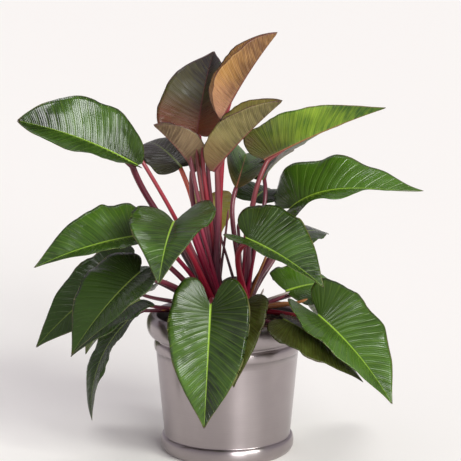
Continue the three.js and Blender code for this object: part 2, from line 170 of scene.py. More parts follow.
p = POT
wall_foot, wall_top = (p.waist, p.foot_height + 1.5), (p.shoulder, p.shoulder_height)
pot_profile = [(0, 0), (p.base - 8, 0), (p.base, 0)]
bend_on(pot_profile, (p.base + 6, 0), (p.foot, 7), (p.foot, p.foot_round), 10)
bend_on(pot_profile, (p.foot, 24), (p.waist + 4, p.foot_height), (p.waist, p.foot_height), 8)
pot_profile += [tuple(a + (b - a) * i / 12 for a, b in zip(wall_foot, wall_top)) for i in range(13)]
bend_on(pot_profile, (p.bead, p.shoulder_height), (p.bead, p.bead_height), (p.shoulder, p.bead_height), 10)
pot_profile += [(p.shoulder - 1, p.lip_bottom)]
bend_on(pot_profile, (p.shoulder + 10, p.lip_bottom), (p.lip, p.lip_bottom + 10), (p.lip, p.lip_round), 12)
bend_on(pot_profile, (p.lip, 237), (p.lip - 6, p.height), (p.lip - 12, p.height), 10)
bend_on(pot_profile, (p.mouth + 2, p.height), (p.mouth, p.height - 2), (p.mouth, p.height - 8), 6)
pot_profile += [
    (p.shoulder - p.wall, p.shoulder_height),
    (p.waist - p.wall, p.foot_height),
    (p.base - p.wall, p.floor),
    (0, p.floor),
]

# Spun and lacquered aluminium: a soft grey metal, stretched into a broad upright highlight by its
# turning lines. The lines are drawn 1.2 mm apart, coarser than the real ones, so that they show.
TURNING_LINE = 1.2
pot_metal, tree, shader = finish_named(
    "spun_aluminium_satin", {"Metallic": 1.0, "Anisotropic": 0.8, "Anisotropic Rotation": 0.25}
)
place = add(tree, "ShaderNodeTexCoord").outputs["Object"]
height = add(tree, "ShaderNodeSeparateXYZ", {0: place}).outputs["Z"]
line_place = formula(tree, "height * per_metre", height=height, per_metre=1 / (TURNING_LINE * MM))
lines = add(
    tree,
    "ShaderNodeTexNoise",
    {"W": line_place, "Detail": 3.0, "Roughness": 0.6, "Scale": 1.0},
    noise_dimensions="1D",
).outputs["Fac"]
cloud = add(tree, "ShaderNodeTexNoise", {"Vector": place, "Scale": 14.0, "Detail": 4.0}).outputs["Fac"]
tone = formula(tree, "0.35 * lines + 0.65 * cloud", lines=lines, cloud=cloud)
greys = {"Factor": tone, "A": linear("#928A8B"), "B": linear("#B8AEAE")}
tree.links.new(
    add(tree, "ShaderNodeMix", greys, data_type="RGBA").outputs["Result"], shader.inputs["Base Color"]
)
tree.links.new(formula(tree, "0.26 + 0.08 * tone", tone=tone), shader.inputs["Roughness"])
around = add(tree, "ShaderNodeTangent", direction_type="RADIAL", axis="Z").outputs["Tangent"]
tree.links.new(around, shader.inputs["Tangent"])
bump = add(tree, "ShaderNodeBump", {"Height": lines, "Strength": 0.12, "Distance": 0.0002})
tree.links.new(bump.outputs["Normal"], shader.inputs["Normal"])

pot = spun("pot_shell", pot_profile, POT.sides, pot_metal)
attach(pot, "root")
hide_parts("pot")


# The soil. A loose mix of peat and composted bark, filled to just under the lip and heaped a little
# round the crowns. Bark chips of all sizes lie on it.
SOIL = SimpleNamespace(level=222, heap=8, shoulder=12, slope=60, under=30, gap=1.6, drop=3, step=3.5)
SOIL_AREA = 0.045  # square metres
CHIPS = {"Chip Count": 900.0, "Chip Length": 0.011, "Unevenness": 0.005, "Seed": 7}


def new_tree(name, inputs):
    """A Geometry Nodes tree with named inputs. Returns it and its input sockets by name."""
    tree = bpy.data.node_groups.new(name, "GeometryNodeTree")
    for label, kind in inputs.items():
        tree.interface.new_socket(label, in_out="INPUT", socket_type="NodeSocket" + kind)
    tree.interface.new_socket("Geometry", in_out="OUTPUT", socket_type="NodeSocketGeometry")
    sockets = tree.nodes.new("NodeGroupInput").outputs
    return tree, {label: sockets[label] for label in inputs}


def close_tree(tree, geometry, material):
    """Ends a tree in real geometry with its material, shaded smooth."""
    real = add(tree, "GeometryNodeRealizeInstances", {"Geometry": geometry}).outputs[0]
    painted = add(tree, "GeometryNodeSetMaterial", {"Geometry": real, "Material": material}).outputs[0]
    smooth = add(tree, "GeometryNodeSetShadeSmooth", {"Geometry": painted}).outputs[0]
    add(tree, "NodeGroupOutput", {"Geometry": smooth})


def grown(name, tree, values, start=None):
    """A plain mesh object from a tree, its inputs set by socket identifier."""
    source = bpy.data.objects.new(name + "_source", start or bpy.data.meshes.new(name))
    bpy.context.scene.collection.objects.link(source)
    modifier = source.modifiers.new("grow", "NODES")
    modifier.node_group = tree
    for socket in tree.interface.items_tree:
        if socket.in_out == "OUTPUT" or socket.name not in values:
            continue
        value = values[socket.name]
        if socket.socket_type == "NodeSocketFloat":
            value = float(value)
        elif socket.socket_type == "NodeSocketVector":
            value = [float(part) for part in value]
        modifier[socket.identifier] = value
    bpy.context.view_layer.update()
    graph = bpy.context.evaluated_depsgraph_get()
    mesh = bpy.data.meshes.new_from_object(source.evaluated_get(graph))
    source.modifiers.remove(modifier)
    bpy.data.objects.remove(source)
    mesh.name = name
    piece = bpy.data.objects.new(name, mesh)
    bpy.context.scene.collection.objects.link(piece)
    return piece


# Damp peat and bark: matt, near black between the chips, and each chip of its own brown, a few
# of them pale. Bark grain is about 1.5 mm wide.
peat, tree, shader = finish_named("peat_and_bark_mix", {"Roughness": 0.9})
place = add(tree, "ShaderNodeTexCoord").outputs["Object"]
shade = add(tree, "ShaderNodeAttribute", attribute_name="chip_shade").outputs["Fac"]
grain = add(tree, "ShaderNodeTexNoise", {"Vector": place, "Scale": 650.0, "Detail": 6.0}).outputs["Fac"]
ramp = add(tree, "ShaderNodeValToRGB", {
    "Fac": formula(tree, "0.8 * shade + 0.35 * (grain - 0.5)", shade=shade, grain=grain),
})
ramp.color_ramp.elements[0].color = linear("#17110D")
ramp.color_ramp.elements[1].color = linear("#A58B6E")
ramp.color_ramp.elements.new(0.45).color = linear("#3A271B")
ramp.color_ramp.elements.new(0.72).color = linear("#5E4230")
tree.links.new(ramp.outputs["Color"], shader.inputs["Base Color"])
bump = add(tree, "ShaderNodeBump", {"Height": grain, "Strength": 0.7, "Distance": 0.001})
tree.links.new(bump.outputs["Normal"], shader.inputs["Normal"])

tree, given = new_tree("bark_on_soil", {
    "Geometry": "Geometry",
    "Material": "Material",
    "Chip Count": "Float",
    "Chip Length": "Float",
    "Unevenness": "Float",
    "Seed": "Int",
})
here = add(tree, "GeometryNodeInputPosition").outputs[0]
flat = add(tree, "GeometryNodeInputNormal").outputs[0]
upward = add(tree, "ShaderNodeSeparateXYZ", {0: flat}).outputs["Z"]
lumps = add(tree, "ShaderNodeTexNoise", {"Vector": here, "Scale": 70.0, "Detail": 5.0}).outputs["Fac"]
lift = formula(tree, "(lumps - 0.5) * much", lumps=lumps, much=given["Unevenness"])
top = formula(tree, "sign(upward - 0.7)", upward=upward)
ground = add(tree, "GeometryNodeSetPosition", {
    "Geometry": given["Geometry"],
    "Selection": top,
    "Offset": add(tree, "ShaderNodeCombineXYZ", {"Z": lift}).outputs[0],
}).outputs[0]
spots = add(tree, "GeometryNodeDistributePointsOnFaces", {
    "Mesh": ground,
    "Selection": top,
    "Density": formula(tree, "count / area", count=given["Chip Count"], area=SOIL_AREA),
    "Seed": given["Seed"],
}).outputs["Points"]
chip = add(tree, "GeometryNodeMeshIcoSphere", {"Radius": 0.5, "Subdivisions": 2}).outputs["Mesh"]
chip_place = add(tree, "GeometryNodeInputPosition").outputs[0]
knobs = add(tree, "ShaderNodeTexVoronoi", {"Vector": chip_place, "Scale": 1.7}).outputs["Distance"]
chip = add(tree, "GeometryNodeSetPosition", {
    "Geometry": chip,
    "Position": formula(tree, "place * (0.55 + knobs)", place=chip_place, knobs=knobs),
}).outputs[0]
turn, size = (
    add(
        tree,
        "FunctionNodeRandomValue",
        {"Min": smallest, "Max": largest, "Seed": seed},
        data_type="FLOAT_VECTOR",
    ).outputs[0]
    for smallest, largest, seed in (
        ((-0.5, -0.5, 0.0), (0.5, 0.5, 6.283), 3),
        ((0.35, 0.25, 0.15), (1.3, 0.7, 0.4), 5),
    )
)
chips = add(tree, "GeometryNodeInstanceOnPoints", {
    "Points": spots,
    "Instance": chip,
    "Rotation": turn,
    "Scale": formula(tree, "size * length", size=size, length=given["Chip Length"]),
}).outputs[0]
own_shade = add(tree, "FunctionNodeRandomValue", {"Seed": 8}, data_type="FLOAT").outputs[1]
chips = add(
    tree,
    "GeometryNodeStoreNamedAttribute",
    {"Geometry": chips, "Name": "chip_shade", "Value": own_shade},
    domain="INSTANCE",
).outputs[0]
joined = add(tree, "GeometryNodeJoinGeometry", {0: chips})
tree.links.new(ground, joined.inputs[0])
close_tree(tree, joined.outputs[0], given["Material"])

s = SOIL
rim = POT.mouth - s.gap
soil_profile = [(0, s.level - s.under), (rim - 2, s.level - s.under), (rim, s.level - s.drop - 1)]
edge = [(rim, -s.drop), (rim - s.shoulder, 0), (s.slope, s.heap * 0.6), (0, s.heap)]
for (r0, h0), (r1, h1) in zip(edge, edge[1:]):
    count = max(2, round((r0 - r1) / s.step))
    steps = [i / count for i in range(1, count + 1)]
    soil_profile += [(r0 + (r1 - r0) * t, s.level + h0 + (h1 - h0) * t) for t in steps]
bed = spun("soil_bed", soil_profile, 120, peat)
soil = grown("soil_surface", tree, {**CHIPS, "Material": peat}, bed.data)
bpy.data.objects.remove(bed)
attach(soil, "root")
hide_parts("soil")


# The two crowns. The short thick stems of the plant, rooted in the soil and ringed by the scars
# and dry brown sheaths of leaves that have gone. The living leaves clasp them.
CROWN = SimpleNamespace(radius=14, root=205, top=276, ring=7.0, taper=24, rings=60, sides=40)
CROWNS = {"west": (-24, 8), "east": (28, 8)}

# Old stem skin: brown and matt, with fine upright fibres. The scars are in its shape.
stem_skin, tree, shader = finish_named("old_stem_skin", {"Roughness": 0.75})
place = add(tree, "ShaderNodeTexCoord").outputs["Object"]
fibre_place = add(tree, "ShaderNodeMapping", {"Vector": place, "Scale": (900.0, 900.0, 60.0)}).outputs[0]
fibre = add(tree, "ShaderNodeTexNoise", {"Vector": fibre_place, "Scale": 1.0, "Detail": 3.0}).outputs["Fac"]
browns = {"Factor": fibre, "A": linear("#33231A"), "B": linear("#8A6248")}
tree.links.new(
    add(tree, "ShaderNodeMix", browns, data_type="RGBA").outputs["Result"], shader.inputs["Base Color"]
)
bump = add(tree, "ShaderNodeBump", {"Height": fibre, "Strength": 0.6, "Distance": 0.0006})
tree.links.new(bump.outputs["Normal"], shader.inputs["Normal"])

for side, (x, y) in CROWNS.items():
    c = CROWN
    profile = [(0, c.root)]
    for i in range(c.rings):
        h = c.root + (c.top - c.root) * i / (c.rings - 1)
        narrowing = max(0, (h - c.top + c.taper) / c.taper)
        scar = abs(math.sin(math.pi * h / c.ring)) ** 0.35
        profile.append((c.radius * (1 - 0.6 * narrowing**2) * (0.93 + 0.07 * scar), h))
    profile.append((0, c.top + 1))
    crown = spun("crown_stem_" + side, profile, c.sides, stem_skin)
    # a grown stem is a little broader here and there
    for vertex in crown.data.vertices:
        vertex.co.x = vertex.co.x * (1 + 0.06 * math.sin(vertex.co.z * 90)) + x * MM
        vertex.co.y += y * MM
    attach(crown, "root")
    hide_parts("crown_" + side)


# The leaves. Each has a blade on a petiole. A row gives where its petiole leaves the crown, by
# bearing and height, the joint and tip of the blade, and how it has grown, in mm and degrees.
# What most leaves share is given once, and a row only says where its leaf differs.
HABIT = dict(
    roll=0, curl=-8, wave=(3, 3), hook=0, twist=0, ears=0, lean=40, shape="heart", lobes=(1, 1),
    blade="green", stalk="burgundy",
)
# Arch lifts the midrib and hook moves that lift to the tip. Roll and twist tip the upper face to its
# right, fold raises the left and right halves, curl turns the margins up, and wave is their height and
# number of waves. Lobes scales how far a lobe runs back past the joint, and ears lifts its end. Neck
# is the radius of the petiole where it meets the blade, and lean the angle at which it does.
WEST_LEAVES = [
    dict(name="top_copper", foot=(40, 268), joint=(-9, 0, 581), tip=(86, 10, 727), width=104, arch=5,
        fold=(62, 62), curl=8, wave=(2, 2), neck=4.4, lean=20, shape="wedge", blade="copper", stalk="red"),
    dict(name="top_dark", foot=(110, 268), joint=(-53, 104, 542), tip=(-24, 200, 681), width=156, arch=10,
        fold=(30, 34), curl=6, wave=(2, 2), neck=4.4, lobes=(0.3, 0.3), blade="brown", stalk="red"),
    dict(name="olive_right", foot=(290, 268), joint=(-24, -44, 497), tip=(92, -90, 621), width=120, arch=4,
        fold=(62, 36), curl=8, wave=(2, 2), neck=4.4, shape="wedge", blade="olive", stalk="rose"),
    dict(name="olive_left", foot=(215, 268), joint=(-54, 8, 489), tip=(-125, -22, 573), width=92, arch=4,
        roll=-4, fold=(54, 50), curl=6, wave=(1.5, 2), neck=4.2, shape="wedge", blade="umber",
        stalk="rose"),
    dict(name="west_high", foot=(190, 254), joint=(-151, -50, 507), tip=(-349, -74, 586), width=148,
        arch=12, roll=-34, fold=(42, 26), curl=-10, twist=-26, neck=5.5, shape="oblong"),
    dict(name="back_left", foot=(140, 254), joint=(-80, 44, 492), tip=(-146, 190, 516), width=98, arch=14,
        roll=-24, fold=(16, 4), curl=-6, neck=4.2, lobes=(0.3, 0.3), blade="dark", stalk="coral"),
    dict(name="west_mid", foot=(205, 244), joint=(-150, -66, 390), tip=(-318, -140, 350), width=132,
        arch=12, roll=-38, fold=(42, 22), neck=4.2, lobes=(0.7, 0.7)),
    dict(name="centre_hang", foot=(245, 254), joint=(-87, -120, 424), tip=(-108, -250, 346), width=150,
        arch=14, fold=(24, 18), curl=-18, ears=14, neck=4.4, shape="arrow", lobes=(1.7, 1.0), stalk="red"),
    dict(name="west_low", foot=(232, 244), joint=(-143, -142, 343), tip=(-250, -226, 225), width=154,
        arch=12, roll=-22, fold=(34, 2), neck=4.2, lobes=(0.6, 1), blade="dark"),
    dict(name="west_low_back", foot=(172, 242), joint=(-176, 4, 318), tip=(-329, -40, 190), width=126,
        arch=12, roll=-36, fold=(10, 10), neck=3.8, blade="dark"),
    dict(name="west_low_under", foot=(222, 238), joint=(-145, -100, 288), tip=(-256, -182, 210), width=84,
        arch=10, roll=-6, fold=(4, 4), curl=-6, neck=2.8, lobes=(0.2, 0.2), blade="dark"),
    dict(name="west_hanging", foot=(198, 237), joint=(-142, -52, 264), tip=(-230, -88, 74), width=70,
        arch=32, fold=(8, 16), curl=-6, neck=3, shape="oblong", lobes=(0.2, 0.2), blade="dark"),
    dict(name="front", foot=(265, 240), joint=(-27, -142, 289), tip=(-38, -174, 86), width=142, arch=8,
        roll=-20, fold=(32, 22), curl=-16, neck=4.2, lobes=(1.2, 1.2), stalk="red"),
    dict(name="back_yellow", foot=(80, 254), joint=(-32, 110, 433), tip=(-12, 194, 346), width=78, arch=10,
        fold=(10, 10), curl=-6, wave=(2, 2), neck=3.6, lobes=(0.5, 0.5), blade="yellow"),
    dict(name="back_low", foot=(98, 240), joint=(-24, 166, 250), tip=(-44, 236, 80), width=122, arch=12,
        fold=(8, 8), neck=3.2, lobes=(0.9, 0.9), blade="dark"),
    dict(name="back_west_low", foot=(146, 238), joint=(-152, 86, 262), tip=(-262, 170, 124), width=124,
        arch=14, fold=(10, 10), neck=3.2),
]
EAST_LEAVES = [
    dict(name="east_high", foot=(300, 268), joint=(63, -10, 512), tip=(266, -50, 605), width=132, arch=6,
        roll=-34, fold=(30, 30), curl=-6, neck=4.2, lobes=(0.4, 0.4), blade="bright", stalk="rose"),
    dict(name="east_arch", foot=(15, 258), joint=(109, 20, 422), tip=(334, -30, 461), width=142, arch=30,
        hook=-8, roll=40, fold=(26, 34), curl=-14, wave=(8, 3), twist=-24, neck=4.2, lobes=(0.6, 0.2)),
    dict(name="east_centre", foot=(270, 256), joint=(31, -104, 393), tip=(158, -168, 323), width=150,
        arch=10, roll=26, fold=(28, 40), neck=4.8, lobes=(1.2, 0.4), stalk="red"),
    dict(name="east_low", foot=(318, 240), joint=(153, -96, 260), tip=(272, -176, 128), width=154, arch=10,
        fold=(38, 10), ears=12, neck=4.0, lobes=(1.3, 1.3), stalk="red"),
    dict(name="east_low_under", foot=(296, 238), joint=(94, -122, 260), tip=(226, -156, 160), width=116,
        arch=12, roll=22, fold=(-24, 4), neck=3, lobes=(0.5, 0.5), blade="dark", stalk="rose"),
    dict(name="east_mid", foot=(345, 242), joint=(102, -6, 282), tip=(200, 100, 268), width=104, arch=10,
        roll=26, fold=(16, 10), curl=-6, neck=3, lobes=(0.2, 0.2), blade="bright", stalk="rose"),
    dict(name="front_right", foot=(262, 242), joint=(33, -122, 292), tip=(11, -172, 155), width=84,
        arch=12, fold=(8, 8), wave=(2, 3), neck=3, lobes=(0.5, 0.5), blade="umber"),
    dict(name="east_back", foot=(40, 250), joint=(92, 62, 350), tip=(186, 190, 346), width=100, arch=16,
        roll=12, fold=(10, 10), neck=3.6, lobes=(0.6, 0.6)),
    dict(name="back_up", foot=(110, 268), joint=(16, 40, 457), tip=(34, 190, 496), width=104, arch=6,
        roll=20, fold=(42, 42), curl=4, wave=(2, 2), neck=4.0, shape="oblong", blade="bright"),
    dict(name="back_stripe", foot=(60, 268), joint=(61, 50, 470), tip=(122, 200, 500), width=72, arch=6,
        roll=-30, fold=(30, 30), curl=4, wave=(2, 2), neck=3.6, shape="oblong", blade="dark"),
    dict(name="back_dark", foot=(85, 252), joint=(46, 94, 424), tip=(100, 220, 402), width=88, arch=22,
        roll=8, fold=(14, 14), neck=3.8, lobes=(0.3, 0.3), blade="dark"),
    dict(name="back_east_low", foot=(45, 240), joint=(128, 96, 264), tip=(224, 190, 130), width=124,
        arch=14, fold=(10, 10), neck=3.2),
]
LEAVES = [
    {**HABIT, "crown": crown, **leaf}
    for crown, leaves in (("west", WEST_LEAVES), ("east", EAST_LEAVES))
    for leaf in leaves
]


def midrib_of(leaf, u):
    """A point on the midrib of a blade, and the blade's chord, right-hand side and upper face."""
    joint, tip = Vector(leaf["joint"]), Vector(leaf["tip"])
    chord = tip - joint
    along = chord.normalized()
    side = Matrix.Rotation(math.radians(leaf["roll"]), 3, along) @ along.cross(Vector((0, 0, 1))).normalized()
    face = side.cross(along)
    rise = 4 * leaf["arch"] * u * (1 - u) + 10.4 * leaf["hook"] * u * (1 - u) * (2 * u - 1)
    return joint + chord * u + face * rise, chord, side, face


# Petioles. Smooth round leaf stalks, thicker at the foot where they sheathe the crown. Each runs on
# under its blade for a short way and thins out into the midrib.
PETIOLE = SimpleNamespace(
    foot=5.6, seat=7, sheath=1.2, broad=1.1, narrow=0.5, broad_above=250,
    spread=0.3, rise=0.45, approach=0.3, steps=28, steps_under=8,
)
RIB_DEPTH = 2.2
BLADE_THICKNESS = 0.9
STALKS = {
    # the colour at the foot, in the middle and at the blade
    "burgundy": ("#2A0814", "#521628", "#7A3A44"),
    "red": ("#4C0C1A", "#92182E", "#8A323A"),
    "rose": ("#380E1E", "#66283A", "#7E3C3C"),
    "coral": ("#98282C", "#D6543E", "#B8604C"),
    "crimson": ("#3C0614", "#7C1230", "#8A2A40"),
    "husk": ("#5A4640", "#A09088", "#C8BCB4"),
    "dry": ("#3A2418", "#7A4A2C", "#A8703C"),
}

# Waxy stalk skin: deep at the foot and lighter towards the blade, with fine lengthwise streaks
# and a soft shine.
stalk_skin = {}
for name, (foot_colour, middle_colour, top_colour) in STALKS.items():
    skin, tree, shader = finish_named(
        "waxy_stalk_" + name, {"Roughness": 0.34, "IOR": 1.45, "Coat Weight": 0.2, "Coat Roughness": 0.2}
    )
    k = {
        label: add(tree, "ShaderNodeAttribute", attribute_name=label).outputs["Fac"]
        for label in ("along", "turn", "tint")
    }
    round_it = {
        "X": formula(tree, "sin(turn * 6.2832) * 2.5", **k),
        "Y": formula(tree, "cos(turn * 6.2832) * 2.5", **k),
        "Z": formula(tree, "along * 2.0", **k),
    }
    streak_place = add(tree, "ShaderNodeCombineXYZ", round_it).outputs[0]
    wavering = {"Vector": streak_place, "Scale": 1.6, "Detail": 5.0}
    streak = add(tree, "ShaderNodeTexNoise", wavering).outputs["Fac"]
    ramp = add(tree, "ShaderNodeValToRGB", {
        "Fac": formula(tree, "along + 1.7 * (streak - 0.5) + tint", streak=streak, **k),
    })
    ramp.color_ramp.elements[0].color = linear(foot_colour)
    ramp.color_ramp.elements[1].color = linear(top_colour)
    ramp.color_ramp.elements.new(0.45).color = linear(middle_colour)
    tree.links.new(ramp.outputs["Color"], shader.inputs["Base Color"])
    bump = add(tree, "ShaderNodeBump", {"Height": streak, "Strength": 0.25, "Distance": 0.0006})
    tree.links.new(bump.outputs["Normal"], shader.inputs["Normal"])
    stalk_skin[name] = skin

PETIOLE_NUMBERS = ("Foot Radius", "Neck Radius", "Sheath Radius", "Joint Share", "Sheath Width", "Tint")
tree, given = new_tree(
    "petiole_on_path",
    {"Geometry": "Geometry", "Material": "Material", **dict.fromkeys(PETIOLE_NUMBERS, "Float")},
)
path = add(tree, "GeometryNodeMeshToCurve", {"Mesh": given["Geometry"]}).outputs[0]
g = {
    "neck": given["Neck Radius"],
    "foot": given["Foot Radius"],
    "sheath": given["Sheath Radius"],
    "joint": given["Joint Share"],
    "width": given["Sheath Width"],
    "share": add(tree, "GeometryNodeSplineParameter").outputs["Factor"],
    "here": add(tree, "GeometryNodeInputPosition").outputs[0],
    "heading": add(tree, "GeometryNodeInputTangent").outputs[0],
    "upright": (0, 0, 1),
}
work_out(tree, g, """
    thick = neck + (foot - neck) * most(1 - share / joint, 0) ** 1.5 + sheath * most(1 - 5 * share, 0) ** 1.5
    radius = thick * (1 - 0.85 * most((share - joint) / (1.0001 - joint), 0))
    flank = unit(cross(heading, upright))
""")
# the foot spreads into a flat sheath that clasps the crown, so each point knows its centre and flank
for label, value in (("along", g["share"]), ("centre", g["here"]), ("flank", g["flank"])):
    path = add(
        tree,
        "GeometryNodeStoreNamedAttribute",
        {"Geometry": path, "Name": label, "Value": value},
        data_type="FLOAT" if label == "along" else "FLOAT_VECTOR",
    ).outputs[0]
ring = add(tree, "GeometryNodeCurvePrimitiveCircle", {"Resolution": 14, "Radius": 1.0}).outputs["Curve"]
turned = add(tree, "GeometryNodeSplineParameter").outputs["Factor"]
ring = add(tree, "GeometryNodeStoreNamedAttribute", {
    "Geometry": ring, "Name": "turn", "Value": turned,
}).outputs[0]
tube = add(tree, "GeometryNodeCurveToMesh", {
    "Curve": path, "Profile Curve": ring, "Fill Caps": True, "Scale": g["radius"],
}).outputs[0]
for label, kind in (("centre", "FLOAT_VECTOR"), ("flank", "FLOAT_VECTOR"), ("along", "FLOAT")):
    g[label] = add(tree, "GeometryNodeInputNamedAttribute", {"Name": label}, data_type=kind).outputs[0]
work_out(tree, g, """
    spread = flank * (dot(here - centre, flank) * width * most(1 - along / 0.42, 0) ** 1.3)
""")
widened = add(tree, "GeometryNodeSetPosition", {"Geometry": tube, "Offset": g["spread"]}).outputs[0]
tinted = add(tree, "GeometryNodeStoreNamedAttribute", {
    "Geometry": widened, "Name": "tint", "Value": given["Tint"],
}).outputs[0]
close_tree(tree, tinted, given["Material"])
petiole_tree = tree
chance = random.Random(4)


def stalk_from(crown, bearing, height, joint, arrival):
    """The curve of a stalk from its foot on a crown to a joint that it reaches in a given direction."""
    x, y = CROWNS[crown]
    outward = Vector((math.cos(math.radians(bearing)), math.sin(math.radians(bearing)), 0))
    foot = Vector((x, y, height)) + outward * PETIOLE.seat
    reach = math.hypot(joint.x - foot.x, joint.y - foot.y)
    start = foot + outward * reach * PETIOLE.spread
    start.z += max(joint.z - foot.z, reach * PETIOLE.spread) * PETIOLE.rise
    end = joint - arrival * (joint - foot).length * PETIOLE.approach
    curve = []
    for step in range(PETIOLE.steps + 1):
        t = step / PETIOLE.steps
        first = foot * (1 - t) ** 3 + start * 3 * t * (1 - t) ** 2
        curve.append(first + end * 3 * t * t * (1 - t) + joint * t**3)
    return curve


def length_of(points):
    return sum((b - a).length for a, b in zip(points, points[1:]))


def stalk_piece(name, points, skin, neck, joint_share, sheath, foot=PETIOLE.foot):
    """A stalk grown on its path, riding the plant."""
    line = bpy.data.meshes.new("path")
    line.from_pydata([q * MM for q in points], [(i, i + 1) for i in range(len(points) - 1)], [])
    values = {
        "Material": skin,
        "Foot Radius": foot * MM,
        "Neck Radius": neck * MM,
        "Sheath Radius": PETIOLE.sheath * MM,
        "Joint Share": joint_share,
        "Sheath Width": sheath,
        "Tint": chance.uniform(-0.25, 0.25),
    }
    stalk = grown(name, petiole_tree, values, line)
    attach(stalk, "root")
    return stalk


for leaf in LEAVES:
    base, chord, side, face = midrib_of(leaf, 0)
    forward = (midrib_of(leaf, 0.02)[0] - base).normalized()
    tilt = math.radians(leaf["fold"][1] - leaf["fold"][0]) / 2
    up = side.cross(forward).normalized() * math.cos(tilt) - side * math.sin(tilt)
    lean = math.radians(leaf["lean"])
    neck = leaf["neck"]
    joint = base + forward * (neck * math.sin(lean) + 1)
    joint -= up * (RIB_DEPTH + BLADE_THICKNESS / 2 + neck * math.cos(lean))
    bearing, height = leaf["foot"]
    points = stalk_from(leaf["crown"], bearing, height, joint, forward * math.cos(lean) + up * math.sin(lean))
    run = length_of(points)
    for step in range(1, PETIOLE.steps_under + 1):
        # under the blade it thins and comes closer to the midrib
        sink = RIB_DEPTH * 0.6 + neck * (1 - 0.85 * step / PETIOLE.steps_under) * 0.75
        points.append(midrib_of(leaf, 0.02 + 0.02 * step)[0] - up * sink)
    sheath = PETIOLE.broad if height > PETIOLE.broad_above else PETIOLE.narrow
    skin = stalk_skin[leaf["stalk"]]
    stalk = stalk_piece("stalk_" + leaf["name"], points, skin, neck, run / length_of(points), sheath)
    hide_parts("petiole_" + leaf["name"])

# Stalks without a blade of their own in view: tall leaf sheaths in the heart of the plant, old
# stalks that are drying, and thin young ones. Each ends behind a leaf or in a dry point.
LOOSE_STALKS = {
    # crown, bearing, height of foot, end, direction there, radius at the end, skin, sheath
    "sheath_west_red": ("west", 200, 262, (-150, -26, 522), (-0.5, 0, 0.85), 3.4, "red", 1.6),
    "sheath_west_broad": ("west", 212, 258, (-96, -60, 408), (-0.45, -0.2, 0.85), 4.2, "crimson", 3.4),
    "sheath_west_inner": ("west", 232, 260, (-84, -66, 412), (-0.3, -0.2, 0.9), 3.8, "burgundy", 2.2),
    "sheath_heart_broad": ("west", 250, 256, (-66, -56, 420), (-0.2, -0.1, 0.95), 4.0, "crimson", 3.0),
    "sheath_heart_left": ("west", 268, 262, (-62, -20, 520), (-0.1, 0, 1), 3.6, "burgundy", 2.2),
    "sheath_heart_rose": ("west", 275, 262, (-52, -10, 530), (-0.05, 0, 1), 3.4, "rose", 1.6),
    "sheath_heart_red": ("west", 300, 262, (-42, -12, 534), (0, 0, 1), 3.6, "red", 1.8),
    "sheath_heart_dark": ("west", 320, 262, (-34, -8, 530), (0, 0, 1), 3.6, "burgundy", 1.8),
    "sheath_heart_far": ("west", 60, 262, (-46, 24, 520), (-0.05, 0, 1), 3.2, "burgundy", 1.8),
    "sheath_gap_left": ("west", 222, 258, (-90, -56, 404), (-0.35, -0.1, 0.9), 3.4, "burgundy", 2.4),
    "sheath_gap_heart": ("west", 245, 260, (-76, -52, 412), (-0.2, 0, 1), 3.4, "burgundy", 2.4),
    "sheath_gap_right": ("west", 285, 260, (-50, -40, 436), (-0.05, 0, 1), 3.4, "crimson", 2.2),
    "sheath_gap_middle": ("west", 262, 260, (-60, -52, 424), (-0.15, -0.05, 1), 4.2, "crimson", 3.0),
    "sheath_gap_low": ("west", 222, 256, (-120, -90, 398), (-0.55, -0.35, 0.75), 3.6, "crimson", 2.6),
    "thin_cross_left": ("west", 20, 258, (2, 30, 420), (0.1, 0.1, 1), 1.9, "burgundy", 0.4),
    "thin_cross_right": ("east", 200, 256, (-22, 34, 414), (-0.2, 0.1, 1), 1.9, "burgundy", 0.4),
    "thin_east_tall": ("east", 235, 256, (18, 2, 400), (-0.1, 0, 1), 2.8, "burgundy", 1.0),
    "thin_east_inner": ("east", 262, 256, (30, -34, 392), (-0.05, 0, 1), 2.6, "crimson", 1.4),
    "thin_east_red": ("east", 300, 256, (48, -40, 372), (0.1, -0.1, 1), 2.6, "crimson", 1.2),
    "thin_east_far": ("east", 30, 256, (56, 24, 392), (0.15, 0, 1), 2.4, "burgundy", 1.0),
    "husk_east_tall": ("east", 300, 248, (62, -66, 300), (0.3, 0, 0.95), 1.6, "husk", 1.2),
    "husk_east_long": ("east", 320, 246, (106, -58, 292), (0.9, 0, 0.3), 1.8, "husk", 1.6),
    "husk_east_low": ("east", 335, 244, (118, -44, 260), (0.8, -0.2, -0.4), 1.8, "husk", 1.6),
    "husk_west_low": ("west", 205, 244, (-96, -52, 276), (-0.9, 0, 0.2), 1.8, "husk", 1.6),
    "strip_east_orange": ("east", 312, 242, (136, -76, 284), (0.9, -0.2, 0.45), 2.4, "dry", 1.6),
    "drying_east_tan": ("east", 330, 250, (68, -22, 350), (0.35, 0, 0.93), 2.2, "dry", 0.4),
    "drying_east_low": ("east", 320, 246, (128, -62, 276), (0.9, -0.3, 0.2), 2.4, "dry", 0.3),
    "drying_east_curl": ("east", 345, 244, (122, -30, 262), (0.6, 0.5, -0.5), 1.8, "dry", 0.3),
    "drying_west_low": ("west", 215, 244, (-112, -66, 262), (-0.9, -0.2, -0.2), 1.8, "dry", 0.3),
}
for name, (crown, bearing, height, end, direction, neck, skin, sheath) in LOOSE_STALKS.items():
    path = stalk_from(crown, bearing, height, Vector(end), Vector(direction).normalized())
    # a thin one is hardly thicker at its foot
    foot = 4.6 if neck > 3 else neck + 1.2
    piece = stalk_piece(name, path, stalk_skin[skin], neck, 0.96, sheath, foot)


